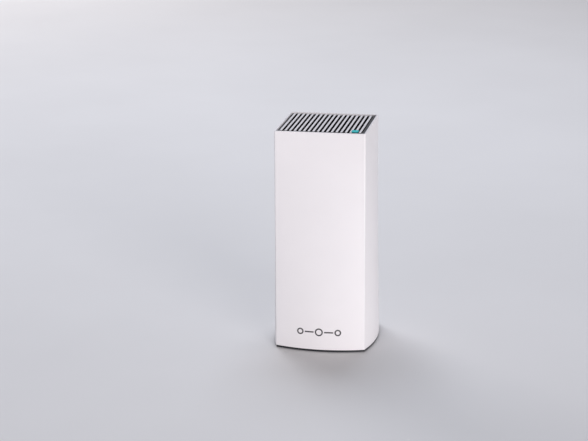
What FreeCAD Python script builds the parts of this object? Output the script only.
"""Mesh wifi node: a white tower router with a slatted top, standing on a dark base that hides its ports.

Frame: millimetres, +Z up, X to the right and -Y towards the viewer of the front face. The origin is the
centre of the footprint on the surface that the foot pad stands on.
"""
import FreeCAD
import Part

import math
import os

V = FreeCAD.Vector
UP = V(0, 0, 1)

# Driving dimensions of the outside
HEIGHT = 185.9          # top of the rim above the table
SHELL_BOTTOM = 2.0      # shadow gap under the white housing
HALF = 37.4             # half the distance between two corners, the same at every height
BOW = 6.1               # how far each side swells past its corners at the bottom edge; none at the top
MIN_BOW = 0.05          # the top edges are drawn as very flat arcs, so that all sections match
WALL = 2.0
GAP = 0.15              # seam between two mouldings
CORNER_R = 1.0          # upright corners
RIM_R = 0.5             # rounding of the rim's outer edge
LOFT_STEPS = 4

# Top grille
BAR_COUNT = 18
BAR_PITCH = 3.824
BAR_WIDTH = 1.7
BARS_CENTRE_X = -0.9    # the row of bars sits a little left of centre
GRILLE_RECESS = 0.8     # the bars' tops lie this far under the rim
GRILLE_DEPTH = 3.4      # height of the grille, its dark carrier included
CAP_SKIN = 0.4          # white cap strip on top of each dark carrier bar
RIM_SKIN = 1.2          # the housing's wall is thinned to this beside the grille
FRAME_DROP = 1.4        # the carrier's frame lies this far under the bars' tops
LIP_WIDTH = 1.9         # the frame's raised lip, which the bars' ends rest on
LIP_GROOVE = 0.85       # width of the groove between the lip and the rim
BARS_FRONT, BARS_BACK = -29.8, 34.4
LIGHT_X, LIGHT_Y = 26.85, -23.8     # middle of the light window, which cuts into two bars
LIGHT_WIDTH, LIGHT_LENGTH = 5.5, 7.0
LIGHT_SEAT = 0.8        # dark wall round the light window

# Port bay in the base
BAY_X = 31.0
BAY_FRONT, BAY_BACK = -12.0, 24.0
BAY_TOP = 36.0
SKIN = 2.0              # thickness of the bay's walls
FLOOR_TOP = 4.0         # top of the base cover's floor, which the port bracket stands on
CHANNEL_X, CHANNEL_TOP = 20.0, 15.0
PAD_TOP = 0.4
FLANGE_INSET = 0.4      # the base cover's flange stands this far inside the housing's outline
PAD_INSET = 1.4
PAD_GAP = 0.6
STAKES = [(sx * 34.8, y) for sx in (-1, 1) for y in (-5.0, 14.0)]

# Main board, standing upright
BOARD_X = 31.0
BOARD_FRONT, BOARD_BACK = -7.0, -5.4
BOARD_BOTTOM, BOARD_TOP = 40.0, 160.0

# Connectors and controls in the bay's ceiling, left to right as seen from the front
RESET_X, RESET_Y = -27.9, -3.65
SWITCH_X, SWITCH_Y = -19.0, 2.5
SWITCH_HALF_X, SWITCH_HALF_Y = 4.9, 7.9
POWER_X = -8.0
JACK_XS = {"left": 6.0, "right": 22.6}
JACK_WIDTH, JACK_DEPTH, JACK_LENGTH = 16.0, 13.5, 21.5
JACK_Y = BOARD_BACK + JACK_DEPTH / 2

RESET_R = 2.0
RUNNING_FIT = 0.08
ROCKER_TILT = 9.0       # each way from level
ROCKER_Z = 37.9         # height of the rocker's pivot
RESET_TRAVEL = 0.6

# Chassis that carries the board and the aerials
CHASSIS_X, CHASSIS_SKIN = 33.6, 1.8
CHASSIS_Y = 22.0
CHASSIS_BOTTOM = BAY_TOP + SKIN
CHASSIS_TOP = HEIGHT - 18.5

SCREW_POST = 30.3       # the four base screws' distance from the middle, along X and along Y
CHASSIS_SCREWS = [(-26.0, 18.5), (26.0, 18.5)]

# Status light
LED_BOARD_Z = 169.5
LED_BOARD_SKIN = 1.0
LED_TOP = LED_BOARD_Z + LED_BOARD_SKIN + 1.2
LED_BOARD = (17.5, 32.5, -30.0, -17.0)

# Aerials on the chassis walls and their coaxial cables
AERIAL_SKIN = 0.8
AERIAL_LENGTH = 34.0
AERIAL_FEEDS = {"low": 84.0, "high": 128.0}
FEED_Y = 10.6
COAX_R, COAX_BEND = 0.57, 4.0
COAX_X = 26.5
COAX_ABOVE_BOARD = 1.1


def box(x0, x1, y0, y1, z0, z1):
    return Part.makeBox(x1 - x0, y1 - y0, z1 - z0, V(x0, y0, z0))


def rod(radius, x, y, z0, z1):
    return Part.makeCylinder(radius, z1 - z0, V(x, y, z0), UP)


def union(shapes):
    shapes = list(shapes)
    return shapes[0].multiFuse(shapes[1:]).removeSplitter() if len(shapes) > 1 else shapes[0]


def mirrored_x(shape):
    return shape.mirror(V(0, 0, 0), V(1, 0, 0))


def rounded_rectangle(x0, x1, y0, y1, r):
    """A closed wire in the XY plane at z 0, with its corners rounded."""
    k = r * (1 - math.sqrt(0.5))
    corners = [
        ((x1 - r, y0), (x1 - k, y0 + k), (x1, y0 + r)),
        ((x1, y1 - r), (x1 - k, y1 - k), (x1 - r, y1)),
        ((x0 + r, y1), (x0 + k, y1 - k), (x0, y1 - r)),
        ((x0, y0 + r), (x0 + k, y0 + k), (x0 + r, y0)),
    ]
    edges = []
    for i, (start, middle, end) in enumerate(corners):
        edges.append(Part.Arc(V(*start, 0), V(*middle, 0), V(*end, 0)).toShape())
        edges.append(Part.makeLine(V(*end, 0), V(*corners[(i + 1) % 4][0], 0)))
    return Part.Wire(edges)


def plate(x0, x1, y0, y1, z0, z1, r):
    """A flat plate with rounded upright corners."""
    face = Part.Face(rounded_rectangle(x0, x1, y0, y1, r))
    face.translate(V(0, 0, z0))
    return face.extrude(V(0, 0, z1 - z0))


def window(x0, x1, z0, z1, r, y0, y1):
    """A rounded rectangle in the XZ plane, pushed through from y0 to y1."""
    prism = plate(x0, x1, z0, z1, 0, y1 - y0, r)
    prism.rotate(V(0, 0, 0), V(1, 0, 0), 90)
    prism.translate(V(0, y1, 0))
    return prism


def bow_at(z):
    """How far the sides swell at height z: nothing at the top, quickly at first, then ever slower."""
    g = (HEIGHT - z) / (HEIGHT - SHELL_BOTTOM)
    return max(MIN_BOW, BOW * (1.5 * g - 0.5 * g * g)) if g > 0 else MIN_BOW


def section(z, inset, corner_r):
    """The housing's outline at height z, drawn inwards by inset, as four side arcs and four corner arcs."""
    bow = bow_at(z)
    radius = (HALF ** 2 + bow ** 2) / (2 * bow)
    centre = radius - HALF - bow
    reach = radius - inset - corner_r
    c = (math.sqrt(2 * reach ** 2 - centre ** 2) - centre) / 2
    out = V(c, -c - centre, 0).normalize()
    start = V(0, centre, 0) + out * (radius - inset)
    mid_side = V(0, -(HALF + bow - inset), 0)
    mid_corner = V(c, -c, 0) + V(1, -1, 0).normalize() * corner_r
    edges = []
    for quarter in range(4):
        side = Part.Arc(V(-start.x, start.y, 0), mid_side, start).toShape()
        corner = Part.Arc(start, mid_corner, V(-start.y, -start.x, 0)).toShape()
        for edge in (side, corner):
            edge.rotate(V(0, 0, 0), UP, 90 * quarter)
            edge.translate(V(0, 0, z))
            edges.append(edge)
    return Part.Wire(edges)


def pillow(inset, z0, z1, corner_r):
    """The housing's outer form drawn inwards by inset, between two heights, as one smooth loft."""
    heights = [z0 + (z1 - z0) * i / LOFT_STEPS for i in range(LOFT_STEPS + 1)]
    return Part.makeLoft([section(z, inset, corner_r) for z in heights], True, False)


def slab(inset, z0, z1, corner_r=1.0):
    """A thin piece of the pillow form, with straight sides."""
    return Part.makeLoft([section(z0, inset, corner_r), section(z1, inset, corner_r)], True, True)


def tube(points, radius, bend):
    """A round cable along straight runs joined by tangent arcs of radius bend."""
    edges, here = [], points[0]
    for before, corner, after in zip(points, points[1:], points[2:]):
        back, on = (before - corner).normalize(), (after - corner).normalize()
        half_turn = (math.pi - back.getAngle(on)) / 2
        cut = bend * math.tan(half_turn)
        inward = (back + on).normalize()
        start, end = corner + back * cut, corner + on * cut
        middle = corner + inward * (bend / math.cos(half_turn) - bend)
        edges.append(Part.makeLine(here, start))
        edges.append(Part.Arc(start, middle, end).toShape())
        here = end
    edges.append(Part.makeLine(here, points[-1]))
    path = Part.Wire(edges)
    ring = Part.Wire(Part.makeCircle(radius, points[0], points[1] - points[0]))
    return path.makePipeShell([ring], True, False)


def screw(head_r, head_h, shank_r, length, at, direction):
    """A cap-headed screw with a cross recess: at is the head's outer face, direction the way it drives."""
    body = Part.makeCylinder(head_r, head_h, V(0, 0, 0), UP)
    body = body.fuse(Part.makeCylinder(shank_r, length, V(0, 0, head_h), UP))
    arm, deep = head_r * 0.62, head_h * 0.6
    slot = head_r * 0.16
    cross = box(-arm, arm, -slot, slot, 0, deep).fuse(box(-slot, slot, -arm, arm, 0, deep))
    body = body.cut(cross).removeSplitter()
    body.Placement = FreeCAD.Placement(at, FreeCAD.Rotation(UP, direction))
    return body


# ---------------------------------------------------------------- outside

REAR_WINDOW = (-29.0, 29.0, 52.0, 166.0)
REAR_WINDOW_R = 3.0
FLANGE = 2.2            # the rear panel's lip behind the window's edge
FLANGE_SKIN = 1.2
BARS_TOP = HEIGHT - GRILLE_RECESS
SEAT_TOP = BARS_TOP - GRILLE_DEPTH - 0.4
GRILLE_HALF = HALF - RIM_SKIN - GAP
BAFFLE_TOP = HEIGHT - 6.4
BAFFLE_SKIN = 1.2


def make_housing():
    outer = pillow(0, SHELL_BOTTOM, HEIGHT, CORNER_R)
    rim = [e for e in outer.Edges if min(v.Z for v in e.Vertexes) > HEIGHT - 0.01]
    shell = outer.makeFillet(RIM_R, rim).cut(pillow(WALL, SHELL_BOTTOM - 2, HEIGHT + 2, CORNER_R))
    seat_half = HALF - WALL - 2.0
    seat = slab(WALL / 2, HEIGHT - 6.4, SEAT_TOP)
    seat = seat.cut(plate(-seat_half, seat_half, -seat_half, seat_half, HEIGHT - 10, HEIGHT, 2.0))
    inside = slab(WALL / 2, 6.0, 22.0)
    extras = [seat]
    for sx in (-1, 1):
        for sy in (-1, 1):
            post = rod(3.4, sx * SCREW_POST, sy * SCREW_POST, 6.0, 22.0)
            web_x = box(0, 12, -0.8, 0.8, 6.0, 20.0)
            web_y = box(-0.8, 0.8, 0, 12, 6.0, 20.0)
            web_x.rotate(V(0, 0, 0), UP, 0 if sx > 0 else 180)
            web_y.rotate(V(0, 0, 0), UP, 0 if sy > 0 else 180)
            for web in (web_x, web_y):
                web.translate(V(sx * SCREW_POST, sy * SCREW_POST, 0))
                extras.append(web.common(inside))
            extras.append(post)
    shell = union([shell] + extras)
    pilots = [rod(1.45, sx * SCREW_POST, sy * SCREW_POST, 5.0, 18.0) for sx in (-1, 1) for sy in (-1, 1)]
    notch = window(-CHANNEL_X, CHANNEL_X, -20, CHANNEL_TOP, 5.0, 30, 60)
    rear = window(*REAR_WINDOW, REAR_WINDOW_R, 30, 60)
    opening = HALF - RIM_SKIN
    rebate = plate(-opening, opening, -opening, opening, SEAT_TOP, HEIGHT + 1, 0.8)
    return shell.cut(Part.makeCompound(pilots + [notch, rear, rebate]))


def make_rear_vent_panel():
    x0, x1, z0, z1 = REAR_WINDOW
    low, high = z0 - 20, z1 + 12
    plug = pillow(0, low, high, CORNER_R).cut(pillow(WALL + GAP + FLANGE_SKIN, low - 1, high + 1, CORNER_R))
    plug = plug.common(window(x0 + GAP, x1 - GAP, z0 + GAP, z1 - GAP, REAR_WINDOW_R - GAP, 10, 60))
    lip = pillow(WALL + GAP, low, high, CORNER_R).cut(
        pillow(WALL + GAP + FLANGE_SKIN, low - 1, high + 1, CORNER_R))
    lip = lip.common(window(x0 - FLANGE, x1 + FLANGE, z0 - FLANGE, z1 + FLANGE, 4.0, 10, 60))
    columns, tiers, rib, edge = 14, 3, 3.2, 5.0
    tier = (z1 - z0 - 2 * edge - (tiers - 1) * rib) / tiers
    slots = []
    for i in range(columns):
        x = (i - (columns - 1) / 2) * BAR_PITCH
        for k in range(tiers):
            bottom = z0 + edge + k * (tier + rib)
            slots.append(window(x - 0.95, x + 0.95, bottom, bottom + tier, 0.9, 10, 60))
    return plug.fuse(lip).removeSplitter().cut(Part.makeCompound(slots))


def bar_x(index):
    return BARS_CENTRE_X + (index - (BAR_COUNT - 1) / 2) * BAR_PITCH


def around_light(margin, z0, z1):
    """The light window's rectangle, grown by margin on every side."""
    x, y = LIGHT_WIDTH / 2 + margin, LIGHT_LENGTH / 2 + margin
    return box(LIGHT_X - x, LIGHT_X + x, LIGHT_Y - y, LIGHT_Y + y, z0, z1)


def make_grille_carrier():
    """The dark half of the two-colour grille: a frame with a lip, a bar under each strip, and two ribs."""
    floor, half = BARS_TOP - GRILLE_DEPTH, GRILLE_HALF
    frame_top, bar_top = BARS_TOP - FRAME_DROP, BARS_TOP - CAP_SKIN
    edge = half - LIP_GROOVE
    inner = edge - LIP_WIDTH
    frame = plate(-half, half, -half, half, floor, frame_top, 0.8)
    frame = frame.fuse(plate(-edge, edge, -edge, edge, floor, bar_top, 0.4))
    frame = frame.cut(plate(-inner, inner, -inner, inner, floor - 1, BARS_TOP, 0.8))
    width = BAR_WIDTH / 2 - 0.12
    bars = [box(bar_x(i) - width, bar_x(i) + width, 1 - half, half - 1, floor, frame_top)
            for i in range(BAR_COUNT)]
    bars += [box(bar_x(i) - width, bar_x(i) + width, BARS_FRONT + 0.2, BARS_BACK - 0.2, floor, bar_top)
             for i in range(BAR_COUNT)]
    ribs = [box(1 - half, half - 1, y - 0.8, y + 0.8, floor - 0.4, floor + 1.2) for y in (-11.7, 11.7)]
    seat = around_light(LIGHT_SEAT, BAFFLE_TOP + 1.1, bar_top)
    return union([frame, seat] + bars + ribs).cut(around_light(0.1, BAFFLE_TOP, HEIGHT))


def make_grille_bars():
    """The white half: one strip on each carrier bar, cut away at the light window and in front of it."""
    strips = []
    for i in range(BAR_COUNT):
        x = bar_x(i)
        strip = box(x - BAR_WIDTH / 2, x + BAR_WIDTH / 2, BARS_FRONT, BARS_BACK,
                    BARS_TOP - CAP_SKIN, BARS_TOP)
        edges = [e for e in strip.Edges if min(v.Z for v in e.Vertexes) > BARS_TOP - 0.01]
        pieces = strip.makeFillet(0.15, edges).cut(around_light(0.1, BARS_TOP - 3, HEIGHT)).Solids
        strips.append(max(pieces, key=lambda piece: piece.Volume))
    return strips


def make_top_baffle():
    sheet = slab(WALL + 0.4, BAFFLE_TOP - BAFFLE_SKIN, BAFFLE_TOP)
    slots = [plate(-29, 22, y - 1.6, y + 1.6, BAFFLE_TOP - 3, BAFFLE_TOP + 1, 1.5)
             for y in (6.0 * i for i in range(-3, 4))]
    return sheet.cut(Part.makeCompound(slots + [rod(1.75, LIGHT_X, LIGHT_Y, 170, HEIGHT)]))


def make_light_pipe():
    head_bottom = BARS_TOP - 2.6
    x0, x1 = LIGHT_X - LIGHT_WIDTH / 2, LIGHT_X + LIGHT_WIDTH / 2
    y0, y1 = LIGHT_Y - LIGHT_LENGTH / 2, LIGHT_Y + LIGHT_LENGTH / 2
    head = plate(x0, x1, y0, y1, head_bottom, BARS_TOP, 0.7)
    head = head.makeFillet(0.25, [e for e in head.Edges if min(v.Z for v in e.Vertexes) > BARS_TOP - 0.01])
    neck = box(x0 + 0.4, x1 - 0.4, y0 + 0.4, y1 - 0.4, BAFFLE_TOP, head_bottom)
    flange = box(x0 - 1.0, x1 + 1.0, y0 - 0.6, y1 + 0.6, BAFFLE_TOP, BAFFLE_TOP + 1.0)
    stem = rod(1.6, LIGHT_X, LIGHT_Y, LED_TOP + 0.4, BAFFLE_TOP)
    return union([head, neck, flange, stem])


# ---------------------------------------------------------------- base

def corner_spots():
    return [(sx * SCREW_POST, sy * SCREW_POST) for sx in (-1, 1) for sy in (-1, 1)]


def run_out():
    """The channel by which the cables leave at the back, open below."""
    return window(-CHANNEL_X, CHANNEL_X, -20, CHANNEL_TOP, 5.0, BAY_BACK - 4, 60)


def make_base_cover():
    """The floor of the node: a flange under the housing, a floor with a rib inside it, posts and stakes."""
    flange = slab(FLANGE_INSET, PAD_TOP, SHELL_BOTTOM)
    floor = slab(WALL + GAP, SHELL_BOTTOM, FLOOR_TOP)
    rib = slab(WALL + GAP, FLOOR_TOP, 8.0).cut(slab(WALL + 1.6, 3.0, 9.0))
    clear = [box(x - 8, x + 8, y - 8, y + 8, 3, 9) for x, y in corner_spots()]
    rib = rib.cut(Part.makeCompound(clear))
    posts = [rod(4.2, x, y, SHELL_BOTTOM, 6.0) for x, y in corner_spots()]
    stakes = [rod(1.1, x, y, FLOOR_TOP - 0.5, FLOOR_TOP + 2.1) for x, y in STAKES]
    cover = union([flange, floor, rib] + posts + stakes)
    cuts = [plate(-BAY_X, BAY_X, BAY_FRONT, BAY_BACK, -1, 20, 3.0), run_out()]
    cuts += [rod(1.6, x, y, 0, 7) for x, y in corner_spots()]
    cuts += [rod(2.9, x, y, 0, 2.6) for x, y in corner_spots()]
    return cover.cut(Part.makeCompound(cuts))


def make_port_bracket():
    """The walls and ceiling of the port bay, which hold the sockets, and the arch over the cable exit."""
    bay = box(-BAY_X - SKIN, BAY_X + SKIN, BAY_FRONT - SKIN, BAY_BACK + SKIN, FLOOR_TOP, BAY_TOP + SKIN)
    arch = box(-CHANNEL_X - SKIN, CHANNEL_X + SKIN, BAY_BACK, 60, FLOOR_TOP, CHANNEL_TOP + SKIN)
    arch = arch.common(slab(WALL + 1.8, FLOOR_TOP, CHANNEL_TOP + SKIN))
    tabs = [box(min(x, x / 2) - 1.8, max(x, x / 2) + 1.8, y - 2.4, y + 2.4, FLOOR_TOP, FLOOR_TOP + 1.5)
            for x, y in STAKES]
    bosses = [rod(3.0, x, y, BAY_TOP - 8, BAY_TOP + SKIN) for x, y in CHASSIS_SCREWS]
    hollow = plate(-BAY_X, BAY_X, BAY_FRONT, BAY_BACK, -1, BAY_TOP, 3.0)
    bracket = union([union([bay, arch] + tabs).cut(hollow).cut(run_out())] + bosses)
    low, high = BAY_TOP - 1, BAY_TOP + SKIN + 1
    cuts = [rod(1.15, x, y, 3, 8) for x, y in STAKES]
    for x in JACK_XS.values():
        cuts.append(box(x - JACK_WIDTH / 2 - GAP, x + JACK_WIDTH / 2 + GAP,
                        BOARD_BACK - GAP, BOARD_BACK + JACK_DEPTH + GAP, low, high))
    cuts.append(box(POWER_X - 4.5 - GAP, POWER_X + 4.5 + GAP,
                    BOARD_BACK - GAP, BOARD_BACK + 11 + GAP, low, high))
    cuts.append(box(SWITCH_X - SWITCH_HALF_X - GAP, SWITCH_X + SWITCH_HALF_X + GAP,
                    SWITCH_Y - SWITCH_HALF_Y - GAP, SWITCH_Y + SWITCH_HALF_Y + GAP, low, high))
    cuts.append(rod(RESET_R + RUNNING_FIT, RESET_X, RESET_Y, low, high))
    cuts += [rod(1.2, x, y, BAY_TOP - 5, high) for x, y in CHASSIS_SCREWS]
    return bracket.cut(Part.makeCompound(cuts))


def make_foot_pads():
    """Five self-adhesive pads under the base cover, laid round the port bay."""
    sheet = slab(PAD_INSET, 0, PAD_TOP, 2.5)
    side, edge = BAY_X + 0.6, CHANNEL_X + 2.4
    front = BAY_FRONT - 9.6
    back = BAY_BACK + 1.6
    regions = [box(-60, 60, -60, front, -1, 1),
               box(side, 60, front + PAD_GAP, back - PAD_GAP, -1, 1),
               box(-60, -side, front + PAD_GAP, back - PAD_GAP, -1, 1),
               box(edge, 60, back, 60, -1, 1),
               box(-60, -edge, back, 60, -1, 1)]
    return [sheet.common(region).Solids[0] for region in regions]


def make_label():
    return plate(-24, 24, BAY_FRONT - 8.6, BAY_FRONT - 2.2, PAD_TOP - 0.12, PAD_TOP, 0.8)


# ---------------------------------------------------------------- chassis and main board

BOARD_SCREWS = [(sx * 27.5, z) for sx in (-1, 1) for z in (63.5, 151.5)]
HEATSINK_SCREWS = [(sx * 21.0, z) for sx in (-1, 1) for z in (77.5, 138.5)]
SPREADER_SCREWS = [(0.0, 72.8), (0.0, 141.2)]
SWITCH_PINS = [(SWITCH_X - 2.6, 46.0), (SWITCH_X + 2.6, 46.0), (SWITCH_X, 50.0)]
LED_SCREWS = [(30.0, -18.9), (20.0, -18.9)]


def across(radius, x, z, y0, y1):
    """A round bar that lies along Y."""
    return Part.makeCylinder(radius, y1 - y0, V(x, y0, z), V(0, 1, 0))


def make_chassis():
    outer, inner = CHASSIS_X, CHASSIS_X - CHASSIS_SKIN
    parts, cuts = [], []
    parts.append(box(-outer, outer, -CHASSIS_Y, CHASSIS_Y, CHASSIS_TOP - CHASSIS_SKIN, CHASSIS_TOP))
    for y0, y1 in ((-18.0, -9.0), (9.0, 18.0)):
        cuts.append(plate(-28, 28, y0, y1, CHASSIS_TOP - 3, CHASSIS_TOP + 1, 2.0))
    for side in (-1, 1):
        wall = box(inner, outer, -CHASSIS_Y, CHASSIS_Y, CHASSIS_BOTTOM, CHASSIS_TOP)
        for y0, y1 in ((-19.0, -9.0), (9.0, 19.0)):
            for z0, z1 in ((45.0, 100.0), (106.0, 146.0)):
                wall = wall.cut(box(inner - 1, outer + 1, y0, y1, z0, z1))
        pieces = [wall]
        pieces.append(box(22, inner, 14, CHASSIS_Y, CHASSIS_BOTTOM, CHASSIS_BOTTOM + 2.2))
        pieces += [box(24, inner, BOARD_BACK, BOARD_BACK + 5, z - 3.5, z + 3.5) for x, z in BOARD_SCREWS[:2]]
        pieces.append(box(inner - 0.7, inner, BOARD_FRONT - 2.0, BOARD_FRONT, 68, 146))
        for feed in AERIAL_FEEDS.values():
            for dz in (-12.0, 12.0):
                pieces.append(Part.makeCylinder(1.0, 1.3, V(outer, -2, feed + dz), V(1, 0, 0)))
        shape = union(pieces)
        parts.append(shape if side > 0 else mirrored_x(shape))
    for x, y in LED_SCREWS:
        parts.append(rod(2.2, x, y, CHASSIS_TOP, LED_BOARD_Z))
        cuts.append(rod(0.85, x, y, CHASSIS_TOP - 5, LED_BOARD_Z + 1))
    cuts += [rod(1.5, x, y, CHASSIS_BOTTOM - 1, CHASSIS_BOTTOM + 4) for x, y in CHASSIS_SCREWS]
    cuts += [across(0.95, x, z, BOARD_BACK - 1, BOARD_BACK + 6) for x, z in BOARD_SCREWS]
    return union(parts).cut(Part.makeCompound(cuts))


def make_main_board():
    board = box(-BOARD_X, BOARD_X, BOARD_FRONT, BOARD_BACK, BOARD_BOTTOM, BOARD_TOP)
    y0, y1 = BOARD_FRONT - 1, BOARD_BACK + 1
    holes = [across(1.4, x, z, y0, y1) for x, z in BOARD_SCREWS]
    holes += [across(1.2, x, z, y0, y1) for x, z in HEATSINK_SCREWS]
    holes += [across(0.6, x, z, y0, y1) for x, z in SWITCH_PINS]
    return board.cut(Part.makeCompound(holes))


def make_heatsink():
    back = BOARD_FRONT - 2.0
    base = box(-24, 24, back - 2.5, back, 74, 142)
    legs = [across(2.6, x, z, back - 0.1, BOARD_FRONT) for x, z in HEATSINK_SCREWS]
    fins = [box(x, x + 1.2, back - 12, back - 2.4, 74, 142)
            for x in (-24 + i * 46.8 / 11 for i in range(12))]
    pilots = [across(0.8, x, z, BOARD_FRONT - 4.0, BOARD_FRONT + 1) for x, z in HEATSINK_SCREWS]
    return union([base] + legs + fins).cut(Part.makeCompound(pilots))


CAN_TOP = BOARD_BACK + 2.4
SPREADER_BACK = CAN_TOP + 0.6
RADIO_BANDS = ((76.0, 104.0), (110.0, 138.0))


def make_radio_cans():
    cans = []
    for z0, z1 in RADIO_BANDS:
        can = box(-15, 15, BOARD_BACK, CAN_TOP, z0, z1)
        cans.append(can.cut(box(-14.7, 14.7, BOARD_BACK - 1, CAN_TOP - 0.3, z0 + 0.3, z1 - 0.3)))
    return cans


def make_heat_spreader():
    front, back = SPREADER_BACK, SPREADER_BACK + 1.5
    sheet = box(-17, 17, front, back, 70, 144)
    wings = [box(-17, -15.5, front, front + 12, 70, 144), box(15.5, 17, front, front + 12, 70, 144)]
    holes = [across(1.3, x, z, front - 1, back + 1) for x, z in SPREADER_SCREWS]
    vent = window(-11, 11, 105.5, 108.5, 1.4, front - 1, back + 1)
    return union([sheet] + wings).cut(Part.makeCompound(holes + [vent]))


# ---------------------------------------------------------------- connectors and controls

def jack_parts(x):
    """One network socket that faces down: its sheet-metal shield, the moulded insert and eight contacts."""
    x0, x1 = x - JACK_WIDTH / 2, x + JACK_WIDTH / 2
    y0, y1 = BOARD_BACK, BOARD_BACK + JACK_DEPTH
    z0, z1 = BAY_TOP, BAY_TOP + JACK_LENGTH
    skin = 0.3
    shield = box(x0, x1, y0, y1, z0, z1)
    shield = shield.cut(box(x0 + skin, x1 - skin, y0 + skin, y1 - skin, z0 - 1, z1 - skin))
    insert = box(x0 + skin, x1 - skin, y0 + skin, y1 - skin, z0 + 0.4, z1 - skin)
    wall = BOARD_BACK + 2.6
    insert = insert.cut(box(x - 5.95, x + 5.95, wall, wall + 7.0, z0 - 1, z0 + 14))
    insert = insert.cut(box(x - 3.1, x + 3.1, wall + 7.0, wall + 8.6, z0 - 1, z0 + 14))
    insert = insert.cut(box(x - 1.6, x + 1.6, wall + 8.6, wall + 9.8, z0 - 1, z0 + 14))
    contacts = []
    for i in range(8):
        cx = x + (i - 3.5) * 1.02
        profile = [(-0.5, 2.4), (0.0, 2.4), (2.2, 10.6), (2.2, 11.2), (1.8, 11.2), (-0.5, 3.0)]
        points = [V(cx - 0.2, wall + y, z0 + z) for y, z in profile]
        contacts.append(Part.Face(Part.makePolygon(points + points[:1])).extrude(V(0.4, 0, 0)))
    return shield, insert.cut(Part.makeCompound(contacts)), contacts


POWER_Y = BOARD_BACK + 5.5
POWER_BORE_R, POWER_PIN_R, POWER_ROOT_R = 3.1, 1.05, 0.6
POWER_BORE_TOP = BAY_TOP + 9.6


def make_power_jack():
    body = box(POWER_X - 4.5, POWER_X + 4.5, BOARD_BACK, BOARD_BACK + 11, BAY_TOP, BAY_TOP + 14)
    body = body.cut(rod(POWER_BORE_R, POWER_X, POWER_Y, BAY_TOP - 1, POWER_BORE_TOP))
    return body.cut(rod(POWER_ROOT_R, POWER_X, POWER_Y, BAY_TOP, BAY_TOP + 12))


def make_power_pin():
    pin = rod(POWER_PIN_R, POWER_X, POWER_Y, BAY_TOP + 0.9, POWER_BORE_TOP)
    tip = [e for e in pin.Edges if max(v.Z for v in e.Vertexes) < BAY_TOP + 1]
    root = rod(POWER_ROOT_R, POWER_X, POWER_Y, POWER_BORE_TOP, BAY_TOP + 12)
    return union([pin.makeFillet(0.35, tip), root])


BEZEL_DROP = 0.8
ROCKER_R = 6.9


def make_switch_body():
    hx, hy = SWITCH_HALF_X, SWITCH_HALF_Y
    body = box(-hx, hx, -hy, hy, BAY_TOP - 0.1, BAY_TOP + 17)
    bezel = plate(-hx - 1.0, hx + 1.0, -hy + 0.1, hy + 1.0, BAY_TOP - BEZEL_DROP, BAY_TOP, 0.8)
    body = union([body, bezel])
    body = body.cut(box(-4.2, 4.2, -7.2, 7.2, BAY_TOP - 2, ROCKER_Z + 3.6))
    body = body.cut(Part.makeCylinder(1.0 + RUNNING_FIT, 20, V(-10, 0, ROCKER_Z), V(1, 0, 0)))
    body.translate(V(SWITCH_X, SWITCH_Y, 0))
    pins = [across(0.45, x, z, BOARD_FRONT - 0.8, BOARD_BACK + 2) for x, z in SWITCH_PINS]
    return body.cut(Part.makeCompound(pins))


def make_rocker():
    """Drawn level about its pivot, then tipped to the position in which the power is on."""
    drum = Part.makeCylinder(ROCKER_R, 7.8, V(-3.9, 0, 0), V(1, 0, 0))
    slope = math.tan(math.radians(ROCKER_TILT))
    profile = [(-9, 1.2), (-9, -2.3 - 9 * slope), (0, -2.3), (9, -2.3 - 9 * slope), (9, 1.2)]
    points = [V(-5, y, z) for y, z in profile]
    rocker = drum.common(Part.Face(Part.makePolygon(points + points[:1])).extrude(V(10, 0, 0)))
    rocker = rocker.fuse(Part.makeCylinder(1.0, 9.4, V(-4.7, 0, 0), V(1, 0, 0))).removeSplitter()
    rocker.rotate(V(0, 0, 0), V(1, 0, 0), ROCKER_TILT)
    rocker.translate(V(SWITCH_X, SWITCH_Y, ROCKER_Z))
    return rocker


PLUNGER_R = 1.4
PLUNGER_BOTTOM, PLUNGER_TOP = 40.6, 44.0
COLLAR_BOTTOM = BAY_TOP + SKIN + 0.02
COLLAR_TOP = BAY_TOP + SKIN + 0.9


def make_reset_switch():
    body = box(RESET_X - 3, RESET_X + 3, BOARD_BACK, BOARD_BACK + 3.5, 42.0, 46.0)
    bore_top = PLUNGER_TOP + RESET_TRAVEL + 0.3
    return body.cut(rod(PLUNGER_R + RUNNING_FIT, RESET_X, RESET_Y, 41, bore_top))


def make_reset_button():
    stem = rod(RESET_R, RESET_X, RESET_Y, BAY_TOP - 0.4, COLLAR_TOP)
    tip = [e for e in stem.Edges if max(v.Z for v in e.Vertexes) < BAY_TOP]
    collar = rod(2.9, RESET_X, RESET_Y, COLLAR_BOTTOM, COLLAR_TOP)
    neck = rod(PLUNGER_R, RESET_X, RESET_Y, COLLAR_TOP, PLUNGER_BOTTOM)
    return union([stem.makeFillet(0.3, tip), collar, neck])


# ---------------------------------------------------------------- aerials, cables and the status light

def aerial(side, feed):
    x0 = CHASSIS_X
    board = box(x0, x0 + AERIAL_SKIN, -6, 12, feed - AERIAL_LENGTH / 2, feed + AERIAL_LENGTH / 2)
    for dz in (-12.0, 12.0):
        board = board.cut(Part.makeCylinder(1.05, 4, V(x0 - 1, -2, feed + dz), V(1, 0, 0)))
    return board if side > 0 else mirrored_x(board)


def coax(side, feed):
    y = BOARD_BACK + COAX_ABOVE_BOARD
    path = [V(side * CHASSIS_X, FEED_Y, feed), V(side * COAX_X, FEED_Y, feed),
            V(side * COAX_X, y, feed), V(side * COAX_X, y, feed - 10)]
    return tube(path, COAX_R, COAX_BEND)


def coax_connector(x, top):
    return box(x - 1.5, x + 1.5, BOARD_BACK, BOARD_BACK + 1.9, top - 3, top)


TOP_AERIAL_X, TOP_AERIAL_Y, TOP_COAX_Z = -11.0, 11.0, 157.0


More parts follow.
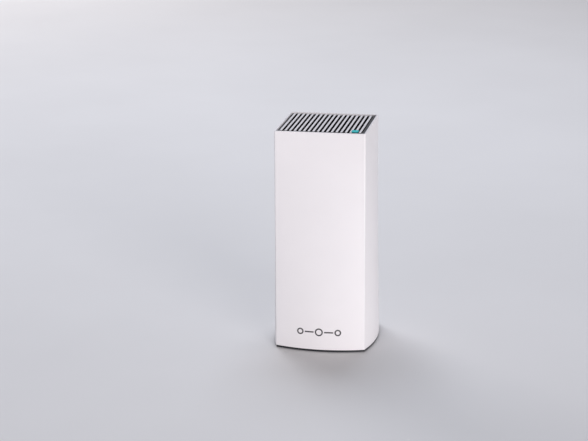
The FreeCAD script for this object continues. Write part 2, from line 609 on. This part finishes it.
def make_top_aerial():
    return box(TOP_AERIAL_X - 12, TOP_AERIAL_X + 12, -4, 14, CHASSIS_TOP, CHASSIS_TOP + AERIAL_SKIN)


def make_top_coax():
    y = BOARD_BACK + COAX_ABOVE_BOARD
    path = [V(TOP_AERIAL_X, TOP_AERIAL_Y, CHASSIS_TOP), V(TOP_AERIAL_X, TOP_AERIAL_Y, TOP_COAX_Z),
            V(TOP_AERIAL_X, y, TOP_COAX_Z), V(TOP_AERIAL_X, y, TOP_COAX_Z - 6)]
    return tube(path, COAX_R, COAX_BEND)


def make_led_board():
    x0, x1, y0, y1 = LED_BOARD
    board = plate(x0, x1, y0, y1, LED_BOARD_Z, LED_BOARD_Z + LED_BOARD_SKIN, 0.8)
    return board.cut(Part.makeCompound([rod(1.2, x, y, 160, 180) for x, y in LED_SCREWS]))


def make_led():
    bottom = LED_BOARD_Z + LED_BOARD_SKIN
    return box(LIGHT_X - 1.75, LIGHT_X + 1.75, LIGHT_Y - 1.4, LIGHT_Y + 1.4, bottom, LED_TOP)


LED_CABLE_X, LED_CABLE_Y, LED_CABLE_Z = 19.5, -25.0, 155.0
LED_SOCKET_DEPTH = 3.0


def make_led_cable():
    path = [V(LED_CABLE_X, LED_CABLE_Y, LED_BOARD_Z), V(LED_CABLE_X, LED_CABLE_Y, LED_CABLE_Z),
            V(LED_CABLE_X, BOARD_FRONT - LED_SOCKET_DEPTH, LED_CABLE_Z)]
    return tube(path, 0.9, 5.0)


def make_capacitors():
    spots = [(x, 46.5) for x in (-26.7, -10.0, -1.5, 8.0, 16.5)]
    cans = []
    for x, z in spots:
        can = across(3.1, x, z, BOARD_FRONT - 7.0, BOARD_FRONT)
        top = [e for e in can.Edges if max(v.Y for v in e.Vertexes) < BOARD_FRONT - 6.9]
        cans.append(can.makeFillet(0.4, top))
    return cans


def on_front(x, z, wide, tall, deep):
    """A block soldered to the front face of the main board."""
    return box(x - wide / 2, x + wide / 2, BOARD_FRONT - deep, BOARD_FRONT, z - tall / 2, z + tall / 2)


def thermal_pad(x, z, wide, tall, front, back):
    return box(x - wide / 2, x + wide / 2, front, back, z - tall / 2, z + tall / 2)


# ---------------------------------------------------------------- assembly

def all_parts():
    parts = {
        "housing": make_housing(),
        "rear_vent_panel": make_rear_vent_panel(),
        "grille_carrier": make_grille_carrier(),
        "grille_bars": make_grille_bars(),
        "top_baffle": make_top_baffle(),
        "light_pipe": make_light_pipe(),
        "base_cover": make_base_cover(),
        "port_bracket": make_port_bracket(),
        "foot_pads": make_foot_pads(),
        "label": make_label(),
        "chassis": make_chassis(),
        "main_board": make_main_board(),
        "heatsink": make_heatsink(),
        "radio_cans": make_radio_cans(),
        "heat_spreader": make_heat_spreader(),
        "power_jack": make_power_jack(),
        "power_pin": make_power_pin(),
        "switch_body": make_switch_body(),
        "power_rocker": make_rocker(),
        "reset_switch": make_reset_switch(),
        "reset_plunger": rod(PLUNGER_R, RESET_X, RESET_Y, PLUNGER_BOTTOM, PLUNGER_TOP),
        "reset_button": make_reset_button(),
        "led_board": make_led_board(),
        "status_led": make_led(),
        "led_cable": make_led_cable(),
        "capacitors": make_capacitors(),
        "aerial_top": make_top_aerial(),
        "coax_top": make_top_coax(),
    }
    parts["base_screws"] = [screw(2.7, 1.8, 1.4, 13.5, V(x, y, 0.8), UP) for x, y in corner_spots()]
    parts["chassis_screws"] = [screw(2.4, 1.4, 1.15, 7.5, V(x, y, CHASSIS_BOTTOM + 3.6), V(0, 0, -1))
                               for x, y in CHASSIS_SCREWS]
    parts["board_screws"] = [screw(2.4, 1.4, 0.9, 5.6, V(x, BOARD_FRONT - 1.4, z), V(0, 1, 0))
                             for x, z in BOARD_SCREWS]
    parts["heatsink_screws"] = [screw(2.0, 1.2, 0.75, 5.0, V(x, BOARD_BACK + 1.2, z), V(0, -1, 0))
                                for x, z in HEATSINK_SCREWS]
    parts["spreader_standoffs"] = [across(2.3, x, z, BOARD_BACK, SPREADER_BACK).cut(
        across(1.05, x, z, BOARD_BACK - 1, SPREADER_BACK + 1)) for x, z in SPREADER_SCREWS]
    parts["spreader_screws"] = [screw(2.0, 1.2, 1.0, 4.2, V(x, SPREADER_BACK + 2.7, z), V(0, -1, 0))
                                for x, z in SPREADER_SCREWS]
    parts["led_board_screws"] = [screw(1.6, 1.0, 0.8, 4.5, V(x, y, LED_BOARD_Z + LED_BOARD_SKIN + 1.0),
                                       V(0, 0, -1)) for x, y in LED_SCREWS]
    for name, x in JACK_XS.items():
        shield, insert, contacts = jack_parts(x)
        parts["jack_shield_" + name] = shield
        parts["network_jack_" + name] = insert
        parts["jack_contacts_" + name] = contacts
    parts["switch_pins"] = [across(0.45, x, z, BOARD_FRONT - 0.8, BOARD_BACK + 2) for x, z in SWITCH_PINS]
    chip_top = BOARD_FRONT - 1.2
    parts["processor"] = on_front(0, 106, 19, 19, 1.2)
    parts["memory_chips"] = [on_front(x, 84, 9, 13, 1.2) for x in (-7.0, 7.0)]
    parts["flash_chip"] = on_front(0, 129, 12, 10, 1.2)
    parts["thermal_pads"] = [thermal_pad(0, 106, 17, 17, BOARD_FRONT - 2.0, chip_top),
                             thermal_pad(-7, 84, 8, 12, BOARD_FRONT - 2.0, chip_top),
                             thermal_pad(7, 84, 8, 12, BOARD_FRONT - 2.0, chip_top)]
    parts["thermal_pads"] += [thermal_pad(0, (z0 + z1) / 2, 24, 20, CAN_TOP, SPREADER_BACK)
                              for z0, z1 in RADIO_BANDS]
    parts["radio_chips"] = [box(-5, 5, BOARD_BACK, BOARD_BACK + 1.2, (z0 + z1) / 2 - 5, (z0 + z1) / 2 + 5)
                            for z0, z1 in RADIO_BANDS]
    parts["isolation_transformers"] = [on_front(x, 60, 12, 15, 6) for x in (3.0, 17.5)]
    parts["inductors"] = [on_front(x, 60, 7, 7, 4) for x in (-10.5, -20.0)]
    parts["regulator_chip"] = on_front(-15, 69, 5, 4, 1.0)
    parts["led_socket"] = on_front(LED_CABLE_X, LED_CABLE_Z, 7, 5, LED_SOCKET_DEPTH)
    connectors = []
    for side_name, side in (("left", -1), ("right", 1)):
        for level, feed in AERIAL_FEEDS.items():
            parts["aerial_%s_%s" % (side_name, level)] = aerial(side, feed)
            parts["coax_%s_%s" % (side_name, level)] = coax(side, feed)
            connectors.append(coax_connector(side * COAX_X, feed - 10))
    connectors.append(coax_connector(TOP_AERIAL_X, TOP_COAX_Z - 6))
    parts["coax_connectors"] = connectors
    return parts


os.makedirs("parts", exist_ok=True)
for name, shape in all_parts().items():
    solid = Part.makeCompound(shape) if isinstance(shape, list) else shape
    solid.exportStep("parts/%s.step" % name)
